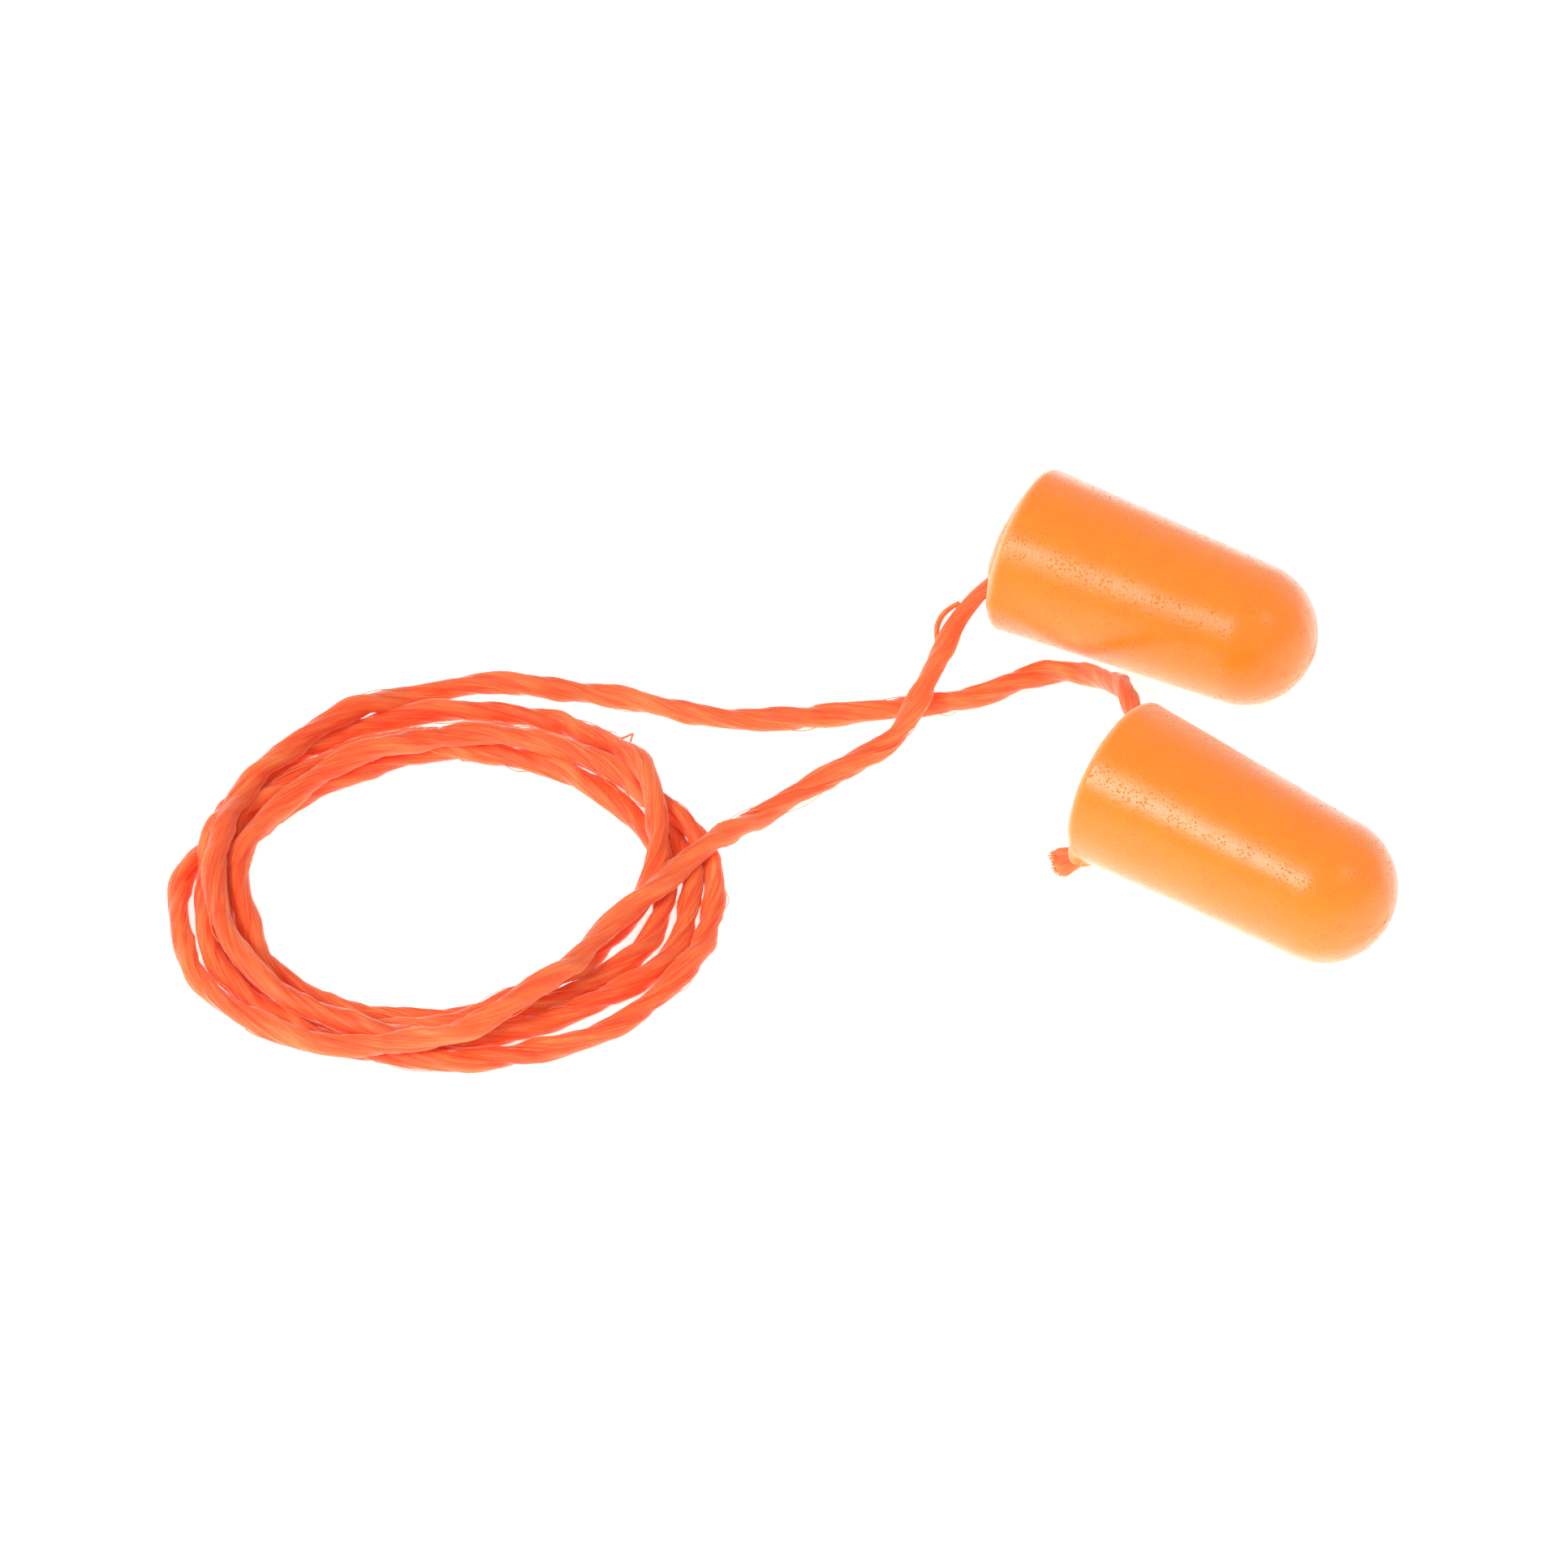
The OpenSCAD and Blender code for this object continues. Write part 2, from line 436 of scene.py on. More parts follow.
@dataclass(frozen=True)
class CordFinish:
    """Loosely twisted filament yarn: fine lengthwise streaks, with painted highlights on its bulges and
    palest streaks, painted paleness near the plugs and a faint painted glow.
    """

    shade: tuple[float, float, float] = (0.86, 0.066, 0.010)
    body: tuple[float, float, float] = (0.96, 0.135, 0.024)
    # Colour of the painted highlight, and of the painted paleness near the plugs.
    ridge: tuple[float, float, float] = (1.0, 0.33, 0.1)
    streaks_across: float = 7800.0
    stretch: float = 0.05
    relief: float = 0.09 * MM

    def material(self) -> bpy.types.Material:
        """Builds the material.

        Returns:
            A material that reads the attributes "fibre" (a point on the yarn that was
            untwisted and laid straight), "ridge" (the painted highlight: 0 in a groove, 1 on a bulge) and
            "faded" (1 where the cord is painted paler, as if more brightly lit).
        """
        bench = Bench("twisted_cord")
        fibre = bench.attribute("fibre", "Vector").socket
        along = bench.node(
            "ShaderNodeVectorMath",
            {"operation": "MULTIPLY"},
            {0: fibre, 1: (1.0, 1.0, self.stretch)},
        ).outputs[0]
        fine = bench.noise(along, self.streaks_across, 2.0, 0.6)
        broad = bench.noise(along, self.streaks_across * 0.28, 2.0, 0.5)
        patches = bench.noise(fibre, 130.0, 2.0)
        ridge = bench.attribute("ridge")
        streak = broad * 0.4 + fine * 0.6
        tone = bench.mixed(streak.between(0.36, 0.58), self.shade, self.body)
        # lift: painted highlight, strongest on the bundle's bulges and on its palest streaks.
        lift = ridge.between(0.35, 1.1) * 0.35 + streak.between(0.5, 0.66) * 0.55
        colour = bench.mixed(lift * patches.between(0.2, 0.7), tone, self.ridge)
        # Painted light: the cord is mixed towards the highlight colour near the plugs, on the threaded ends
        # and on loose filaments, as if more brightly lit there.
        colour = bench.mixed(bench.attribute("faded") * (0.05 + 0.2 * broad), colour, self.ridge)
        height = fine * 0.55 + broad * 0.8
        return bench.finish(
            {
                "Base Color": colour,
                "Roughness": 0.46 + 0.25 * fine,
                "Normal": bench.bumped(height, self.relief),
                "IOR": 1.48,
                "Subsurface Weight": 0.4,
                "Subsurface Radius": (1.0, 0.4, 0.2),
                "Subsurface Scale": 0.7 * MM,
                "Sheen Weight": 0.9,
                "Sheen Roughness": 0.32,
                "Sheen Tint": (1.0, 0.88, 0.78, 1.0),
                # Painted glow: the cord emits a little of its own colour, as if light shone through the
                # yarn, though it is no lamp.
                "Emission Color": colour,
                "Emission Strength": 0.06,
            }
        )


@dataclass(frozen=True)
class FloorFinish:
    """The evenly lit white table that everything lies on."""

    colour: tuple[float, float, float] = (0.95, 0.95, 0.95)
    glow: float = 0.72

    def material(self) -> bpy.types.Material:
        """Builds the material."""
        return Bench("white_table").finish(
            {
                "Base Color": rgba(self.colour),
                "Roughness": 0.9,
                "Specular IOR Level": 0.1,
                "Emission Color": rgba((1.0, 1.0, 1.0)),
                "Emission Strength": self.glow,
            }
        )


# --- Foam plugs ---


@dataclass(frozen=True)
class PlugPlace:
    """Where a plug lies: a frame at the middle of its base.

    Attributes:
        base: Middle of the flat base.
        away: Across the plug, level, to the side far from the viewer.
        top: Across the plug, upwards.
        ahead: Along the plug, from its base to its tip.
        mouth: Angle of the cord's way in, from away towards top.
    """

    base: np.ndarray
    away: np.ndarray
    top: np.ndarray
    ahead: np.ndarray
    mouth: float

    @classmethod
    def from_record(cls, record: Mapping[str, Any], side: Side, mouth: float, offset: float) -> "PlugPlace":
        """Works the place out from the tilt joint and the ear end's mount.

        Args:
            record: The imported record.
            side: Which plug.
            mouth: Angle of the cord's way in, from away towards top.
            offset: Distance from the plug's axis to the way in.

        Returns:
            The plug's place.
        """
        joint = next(j for j in record["behaviour"]["joints"] if j["name"] == f"{side.value}_tilt")
        mount = next(m for m in record["mounts"] if m["name"] == f"ear_end_{side.value}")
        away = unit(-np.array(joint["axis"], float))
        ahead = unit(np.array(mount["axis"], float))
        top = np.cross(ahead, away)
        across = math.cos(mouth) * away + math.sin(mouth) * top
        return cls(np.array(joint["pos_m"], float) - offset * across, away, top, ahead, mouth)

    def across(self, angle: np.ndarray | float) -> np.ndarray:
        """Directions across the plug at angles from away towards top."""
        return np.cos(angle)[..., None] * self.away + np.sin(angle)[..., None] * self.top

    def put(self, radius: np.ndarray, angle: np.ndarray, height: np.ndarray) -> np.ndarray:
        """Points from their distance to the axis, their angle and their distance to the base."""
        return self.base + radius[..., None] * self.across(angle) + height[..., None] * self.ahead


@dataclass(frozen=True)
class HoleArc:
    """The curved hole through the foam: an arc in at the mouth and out at the corner.

    Attributes:
        mouth_offset: Distance from the axis to the mouth.
        corner_offset: Distance from the axis to the way out, at the opposite corner.
        slope: Angle between the hole and the base where it comes out.
    """

    mouth_offset: float = 4.4 * MM
    corner_offset: float = 6.4 * MM
    slope: float = math.radians(50)

    @property
    def bend(self) -> float:
        """Radius of the arc."""
        return (self.mouth_offset + self.corner_offset) / 2 / math.sin(self.slope)

    @property
    def span(self) -> tuple[float, float]:
        """Angles of the arc at the mouth and at the corner."""
        return math.pi / 2 - self.slope, math.pi / 2 + self.slope

    def points(self, place: PlugPlace, angles: np.ndarray) -> np.ndarray:
        """Points of the arc in the row frame.

        Args:
            place: The plug's place.
            angles: Angles round the arc's centre.

        Returns:
            One point a row.
        """
        offset = (self.mouth_offset - self.corner_offset) / 2 + self.bend * np.cos(angles)
        height = self.bend * np.sin(angles) - self.bend * math.cos(self.slope)
        across = place.across(np.array(place.mouth))
        return place.base + offset[:, None] * across + height[:, None] * place.ahead


@dataclass(frozen=True)
class Dent:
    """A round hollow in the foam's skin, with a raised ring about it.

    Attributes:
        depth: Depth at its middle.
        reach: How far out the hollow reaches.
        ring: Height of the ring.
        ring_r: Radius of the ring.
        ring_width: How far the ring reaches to each side.
    """

    depth: float
    reach: float
    ring: float
    ring_r: float
    ring_width: float

    def lift(self, away: np.ndarray, ragged: np.ndarray | float = 1.0) -> np.ndarray:
        """How far the skin is moved out: a bell curve for the ring less one for the hollow.

        Args:
            away: Distance from the dent's middle.
            ragged: What the ring's height is multiplied by.

        Returns:
            The lift at each point.
        """
        ring = self.ring * ragged * np.exp(-(((away - self.ring_r) / self.ring_width) ** 2))
        return ring - self.depth * np.exp(-((away / self.reach) ** 2))


@dataclass
class FoamPlug:
    """One plug of soft foam.

    Attributes:
        side: Which plug.
        place: Where it lies.
        hole: The cord's way through it.
        base_r: Radius of the base.
        length: From the base to the tip.
        taper: Angle between the side and the axis.
        rim_r: Rounding of the corner between the base and the side.
        crown: How far the middle of the base stands proud.
        crown_reach: Share of the base's radius at which the crown has gone.
        fuller_side: Angle, from away towards top, at which the base bulges most.
        pucker: The dent where the cord goes in.
        lip: The dent where its cut end comes out.
        waves: Height of the skin's slow waves and of its quick ones.
        columns: Points round the plug.
        rows: Rows of points on the base, the rim, the side and the dome.
        pits: How many of the larger open pores it has.
        pit_r: The least and the greatest radius of such a pore.
        pit_depth: Their depth as a share of their radius.
    """

    side: Side
    place: PlugPlace
    hole: HoleArc
    base_r: float = 6.5 * MM
    length: float = 24.2 * MM
    taper: float = math.radians(3)
    rim_r: float = 0.7 * MM
    crown: float = 0.25 * MM
    crown_reach: float = 0.9
    fuller_side: float = math.radians(145)
    pucker: Dent = Dent(1.25 * MM, 0.95 * MM, 0.1 * MM, 1.75 * MM, 0.45 * MM)
    lip: Dent = Dent(0.3 * MM, 0.7 * MM, 0.34 * MM, 1.05 * MM, 0.38 * MM)
    waves: tuple[float, float] = (0.028 * MM, 0.014 * MM)
    columns: int = 316
    rows: tuple[int, int, int, int] = (56, 26, 132, 84)
    pits: int = 90
    pit_r: tuple[float, float] = (0.09 * MM, 0.22 * MM)
    pit_depth: float = 0.3

    @property
    def name(self) -> str:
        """The piece's name."""
        return f"soft_foam_plug_{self.side.value}"

    def outline(self) -> tuple[np.ndarray, np.ndarray, np.ndarray, np.ndarray]:
        """Half outline of the plug, from the middle of its base to its tip.

        A straight base, an arc of the rim's radius, a straight tapered side and a round
        dome that the side meets at a tangent.

        Returns:
            Distance from the axis, distance from the base, the outline's own outward
            direction as an angle from straight across, and how far round the rim each
            point is: -1 on the base, 0 to 1 on the rim, 2 on the side.
        """
        flat, corner, side, dome = self.rows
        dome_r = (self.base_r * math.cos(self.taper) - self.length * math.sin(self.taper)) / (
            1 - math.sin(self.taper)
        )
        rim_x = self.base_r - self.rim_r * math.tan(self.taper) - self.rim_r / math.cos(self.taper)
        turn = np.linspace(-math.pi / 2, self.taper, corner + 1)[:-1]
        lean = np.linspace(self.taper, math.pi / 2, dome + 1)[:-1]
        base_x = rim_x * np.linspace(0, 1, flat + 1)[1:-1]
        rim = (rim_x + self.rim_r * np.cos(turn), self.rim_r + self.rim_r * np.sin(turn))
        top = (dome_r * np.cos(lean), self.length - dome_r + dome_r * np.sin(lean))
        share = np.linspace(0, 1, side + 1)[:-1]
        foot = (rim_x + self.rim_r * math.cos(self.taper), self.rim_r + self.rim_r * math.sin(self.taper))
        wall = tuple(foot[axis] + share * (top[axis][0] - foot[axis]) for axis in range(2))
        radius = np.concatenate([base_x, rim[0], wall[0], top[0]])
        height = np.concatenate([0 * base_x, rim[1], wall[1], top[1]])
        facing = np.concatenate([0 * base_x - math.pi / 2, turn, 0 * share + self.taper, lean])
        rounding = np.concatenate([0 * base_x - 1, np.linspace(0, 1, corner), 0 * share + 2, 0 * lean + 2])
        return radius, height, facing, rounding

    def surface(self) -> Surface:
        """The plug's outline carried round its axis, with the marks that foam shows.

        Each point is moved along the outline's own outward direction by the crown of the
        base, a faint unevenness, the pucker at the mouth, the torn lip at the corner and
        the larger pores.

        Returns:
            The surface, with the attributes that its finish reads.
        """
        radius, height, facing, rounding = self.outline()
        angle = np.linspace(0, TURN, self.columns, endpoint=False)[None, :]
        round_x = radius[:, None] + 0 * angle
        round_z = height[:, None] + 0 * angle
        points = self.place.put(round_x, angle + 0 * round_x, round_z)
        lift = self.unevenness(angle, round_z)
        on_base = (rounding < 0)[:, None]
        share = round_x / self.base_r
        fuller = 0.5 + 0.55 * share * np.maximum(np.cos(angle - self.fuller_side), 0) ** 4
        lift = lift + on_base * self.crown * fuller * (1 - (share / self.crown_reach) ** 6)
        lift = lift + self.dents(points, angle) - self.open_pores(points)
        out = np.cos(facing)[:, None, None] * self.place.across(angle + 0 * round_x)
        out = out + np.sin(facing)[:, None, None] * self.place.ahead
        points = points + lift[..., None] * out
        edge = np.exp(-(((height - 0.25 * self.rim_r) / (0.55 * self.rim_r)) ** 2)) * (rounding >= 0)
        cut = (rounding < 0) + (rounding >= 0) * (1 - smoothstep(0.0, 0.5, rounding))
        values = {"edge": edge[:, None] + 0 * angle, "cut": cut[:, None] + 0 * angle}
        base_pole = self.place.base - lift[0].mean() * self.place.ahead
        tip_pole = self.place.base + (self.length + lift[-1].mean()) * self.place.ahead
        return Surface(points, base_pole, tip_pole, values)

    def unevenness(self, angle: np.ndarray, height: np.ndarray) -> np.ndarray:
        """A few waves round the plug and along it, a few hundredths of a millimetre high."""
        shift = 1.3 if self.side is Side.FAR else 4.0
        slow = np.sin(2 * angle + shift + 90 * height) + 0.7 * np.sin(3 * angle - 2 * shift + 210 * height)
        quick = np.sin(5 * angle + 430 * height + shift) * np.sin(7 * angle - 350 * height)
        return self.waves[0] * slow + self.waves[1] * quick

    def dents(self, points: np.ndarray, angle: np.ndarray) -> np.ndarray:
        """The pucker where the cord goes in, and the torn lip where its cut end comes out."""
        mouth, corner = self.hole.points(self.place, np.array(self.hole.span))
        ragged = 1 + 0.7 * np.sin(41 * angle) * np.sin(4200 * points[..., 2]) + 0.4 * np.sin(67 * angle + 1)
        by_mouth = self.pucker.lift(np.linalg.norm(points - mouth, axis=-1))
        return by_mouth + self.lip.lift(np.linalg.norm(points - corner, axis=-1), ragged)

    def open_pores(self, points: np.ndarray) -> np.ndarray:
        """The larger pores: small round pits at seeded places on the skin."""
        picks = np.random.default_rng(11 if self.side is Side.FAR else 12)
        flat = points.reshape(-1, 3)
        centres = flat[picks.integers(0, len(flat), self.pits)]
        sizes = picks.uniform(*self.pit_r, self.pits)
        squares = ((flat[:, None, :] - centres[None]) ** 2).sum(axis=-1)
        depth = (self.pit_depth * sizes * np.exp(-squares / (0.5 * sizes) ** 2)).sum(axis=1)
        return depth.reshape(points.shape[:2])

    def build(self, material: bpy.types.Material) -> bpy.types.Object:
        """Makes the plug and hangs it on its CAD body.

        Args:
            material: The foam's finish.

        Returns:
            The new piece.
        """
        piece = self.surface().build(self.name, material)
        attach(piece, f"plug_{self.side.value}")
        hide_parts(f"foam_plug_{self.side.value}")
        return piece


# --- Cord ---

# The far plug's lead, from its neck to the coil. The points are part.scad's.
FAR_ROUTE = (
    (-0.0170, 0.0133, 0.0039),
    (-0.0175, 0.0121, 0.0035),
    (-0.0184, 0.0101, 0.0032),
    (-0.0192, 0.0077, 0.0031),
    (-0.0195, 0.0065, 0.0031),
    (-0.0198, 0.0055, 0.0030),
    (-0.0204, 0.0044, 0.0025),
    (-0.0213, 0.0031, 0.0017),
    (-0.0223, 0.0021, 0.0012),
    (-0.0240, 0.0011, 0.0010),
    (-0.0259, -0.0005, 0.0010),
    (-0.0280, -0.0024, 0.0010),
    (-0.0299, -0.0037, 0.0010),
    (-0.0313, -0.0050, 0.0011),
    (-0.0327, -0.0065, 0.0015),
    (-0.0341, -0.0084, 0.0022),
)

# The near plug's lead, from its neck to the coil.
NEAR_ROUTE = (
    (-0.0046, -0.0009, 0.0090),
    (-0.0048, 0.0004, 0.0084),
    (-0.0052, 0.0017, 0.0074),
    (-0.0060, 0.0045, 0.0054),
    (-0.0069, 0.0070, 0.0036),
    (-0.0078, 0.0087, 0.0022),
    (-0.0091, 0.0097, 0.0013),
    (-0.0104, 0.0098, 0.0010),
    (-0.0121, 0.0093, 0.0010),
    (-0.0142, 0.0082, 0.0010),
    (-0.0164, 0.0072, 0.0010),
    (-0.0184, 0.0066, 0.0010),
    (-0.0206, 0.0062, 0.0010),
    (-0.0227, 0.0061, 0.0010),
    (-0.0249, 0.0058, 0.0010),
    (-0.0271, 0.0055, 0.0010),
    (-0.0292, 0.0049, 0.0010),
    (-0.0317, 0.0048, 0.0010),
    (-0.0344, 0.0050, 0.0010),
    (-0.0374, 0.0057, 0.0010),
    (-0.0404, 0.0066, 0.0010),
    (-0.0435, 0.0074, 0.0010),
    (-0.0462, 0.0081, 0.0010),
    (-0.0487, 0.0085, 0.0010),
)


@dataclass(frozen=True)
class CoilLay:
    """How the middle of the cord lies coiled, clockwise as seen from above.

    Attributes:
        radii: Distance from the coil's middle, turn by turn, at twelve directions from
            the right and round by the front.
        layers: How many cords each of those points lies on, with halves where it climbs.
        layer_rise: Height that each cord beneath adds.
    """

    radii: tuple[tuple[float, ...], ...] = (
        (0.0178, 0.0140, 0.0158, 0.0190, 0.0206, 0.0211, 0.0194, 0.0142, 0.0132, 0.0134, 0.0136, 0.0149),
        (0.0163, 0.0164, 0.0154, 0.0152, 0.0162, 0.0160, 0.0154, 0.0137, 0.0131, 0.0133, 0.0147, 0.0161),
        (0.0197, 0.0203, 0.0200, 0.0192, 0.0193, 0.0191, 0.0178, 0.0175, 0.0172, 0.0176, 0.0181, 0.0167),
        (0.0155, 0.0138, 0.0148, 0.0165, 0.0177, 0.0176, 0.0163, 0.0159, 0.0152, 0.0150, 0.0158, 0.0169),
        (0.0181, 0.0185, 0.0170, 0.0180, 0.0183, 0.0180, 0.0171, 0.0170, 0.0175, 0.0202),
    )
    layers: tuple[tuple[float, ...], ...] = (
        (1, 1, 2, 1.5, 0.5, 0, 0, 0, 0, 0, 0, 0),
        (0, 0, 0, 0, 0, 0, 1, 1, 1, 1, 1, 1),
        (0, 0, 0, 0, 0, 0, 0.5, 0, 0, 0, 0, 2),
        (1, 0, 1, 0.5, 0, 0, 0, 0, 0, 0, 0, 0),
        (0, 0, 0, 0.5, 1, 1, 1.5, 1, 1, 0),
    )
    layer_rise: float = 1.5 * MM

    def points(self, middle: np.ndarray, lowest: float) -> np.ndarray:
        """The turns' points, turn after turn and twelve to a turn.

        Args:
            middle: The coil's middle on the table.
            lowest: Height of the cord's centre where it lies on the table.

        Returns:
            One point a row.
        """
        rows = []
        for turn, (radii, layers) in enumerate(zip(self.radii, self.layers)):
            for step, (radius, layer) in enumerate(zip(radii, layers)):
                angle = -TURN * (turn + step / 12)
                rows.append(
                    (
                        middle[0] + radius * math.cos(angle),
                        middle[1] + radius * math.sin(angle),
                        lowest + layer * self.layer_rise,
                    )
                )
        return np.array(rows)


@dataclass
class CordSettler:
    """Lets the cord settle: it lies on the table and on itself without going through.

    Attributes:
        apart: Least distance between the centres of two stretches that touch.
        lowest: Height of the centre where the cord lies on the table.
        sweeps: How many times every point is moved.
        spacing: Distance between the line's points.
    """

    apart: float = 1.62 * MM
    lowest: float = 0.9 * MM
    sweeps: int = 260
    spacing: float = 0.8 * MM

    def settle(self, line: np.ndarray, free: np.ndarray) -> np.ndarray:
        """Moves the points until none is inside another stretch or under the table.

        In each sweep a point is drawn a little towards where it was placed, sinks, is
        straightened by its neighbours, and is pushed off any stretch that it is in.

        Args:
            line: The cord's line as it was placed.
            free: 1 where the cord may settle and 0 where it is held.

        Returns:
            The settled line.
        """
        placed = line.copy()
        line = line.copy()
        loose = free[:, None]
        for _ in range(self.sweeps):
            moved = 0.05 * (placed - line)
            moved[:, 2] -= 0.006 * MM
            moved[2:-2] -= 0.04 * (line[:-4] - 4 * line[1:-3] + 6 * line[2:-2] - 4 * line[3:-1] + line[4:])
            line += loose * moved
            line += loose * self.pushed_apart(line, placed)
            line[:, 2] = np.maximum(line[:, 2], self.lowest)
        return line

    def pushed_apart(self, line: np.ndarray, placed: np.ndarray) -> np.ndarray:
        """How far each point is pushed off the stretches that it is inside.

        A pair of points that are too close move apart along the line between them,
        turned upwards so that the one that was placed higher stays above.

        Args:
            line: The cord's line now.
            placed: The line as it was placed.

        Returns:
            One move a row.
        """
        squares = (line**2).sum(axis=1)
        gaps = squares[:, None] + squares[None] - 2 * line @ line.T
        index = np.arange(len(line))
        far_along = index[None] - index[:, None] > 4 * MM / self.spacing
        first, second = np.nonzero(far_along & (gaps < self.apart**2))
        between = line[first] - line[second]
        gap = np.maximum(np.linalg.norm(between, axis=1), 1e-7)
        above = placed[first, 2] - placed[second, 2]
        rise = np.where(np.abs(above) > 0.25 * MM, 0.9 * np.sign(above), 0.15 * np.sign(between[:, 2]))
        way = between / gap[:, None]
        way[:, 2] += rise
        push = 0.4 * (self.apart - gap)[:, None] * unit(way)
        moves = np.zeros_like(line)
        hits = np.zeros(len(line))
        np.add.at(moves, first, push)
        np.add.at(moves, second, -push)
        np.add.at(hits, first, 1)
        np.add.at(hits, second, 1)
        return moves / np.maximum(hits, 1)[:, None]


@dataclass
class Yarn:
    """The cord's body: an uneven bundle of filaments with a loose twist.

    Attributes:
        radius: Mean radius of the free cord.
        pinched: Radius where the foam grips it.
        lobe_pitch: Length in which the bundle's lobes go round once.
        fibre_pitch: Length in which a filament goes round once.
        columns: Points round the cord.
    """

    radius: float = 0.81 * MM
    pinched: float = 0.62 * MM
    lobe_pitch: float = 11.0 * MM
    fibre_pitch: float = 25.0 * MM
    columns: int = 44

    def surface(self, line: np.ndarray, run: np.ndarray, size: np.ndarray, up: np.ndarray) -> Surface:
        """A twisted, lobed tube round a line.

        The distance from the line is the cord's radius at that place, times one plus a
        one-sided bulge, a two-sided flattening and two finer sets of ridges, all turning
        with the twist. The rings turn left-handedly about the way ahead, so the faces
        point inwards.

        Args:
            line: Centre-line, one point a row.
            run: Each point's distance along the whole cord, which sets its twist.
            size: Radius at each point.
            up: Direction, across the line everywhere, that the columns are counted from.

        Returns:
            The surface, closed by a pole at each end.
        """
        ahead = unit(np.gradient(line, axis=0))
        side = unit(np.cross(ahead, up))
        rise = np.cross(side, ahead)
        angle = np.linspace(0, TURN, self.columns, endpoint=False)[None, :]
        wander = 0.9 * ripple(run, 31 * MM, 0.4) + 0.35 * ripple(run, 9 * MM, 2.0)
        lobes = angle + (TURN * run / self.lobe_pitch + wander)[:, None]
        shift = 0.12 + 0.06 * ripple(run, 23 * MM, 1.1)
        flat = 0.12 + 0.06 * ripple(run, 17 * MM, 2.7)
        stray = 2 * ripple(run, 14 * MM)[:, None]
        strands = 0.040 * np.cos(5 * lobes + 1.0) + 0.022 * np.cos(9 * lobes + stray)
        form = shift[:, None] * np.cos(lobes) + flat[:, None] * np.cos(2 * lobes + 0.8) + strands
        reach = size[:, None] * (1 + form)
        rings = line[:, None] + reach[..., None] * (
            np.cos(angle)[..., None] * rise[:, None] - np.sin(angle)[..., None] * side[:, None]
        )
        rings[..., 2] = np.maximum(rings[..., 2], 0.0)
        turned = angle + (TURN * run / self.fibre_pitch)[:, None]
        laid = np.stack([np.cos(turned), np.sin(turned), run[:, None] / self.radius + 0 * turned], axis=-1)
        # The second value is the painted highlight: most where the bundle bulges out, least in its grooves.
        values = {"fibre": self.radius * laid, "ridge": 0.5 + 2.4 * form - 0.6 * flat[:, None]}
        return Surface(rings, line[0], line[-1], values)

    def drawn_in(self, run: np.ndarray, size: np.ndarray, reach: float) -> np.ndarray:
        """Size that shrinks by a tenth over that reach at both ends, and closes there."""
        to_end = np.minimum(run - run[0], run[-1] - run)
        near_end = 1 - np.clip(to_end / reach, 0, 1)
        return size * (1 - 0.1 * near_end) * np.where(near_end == 1, 0.45, 1)


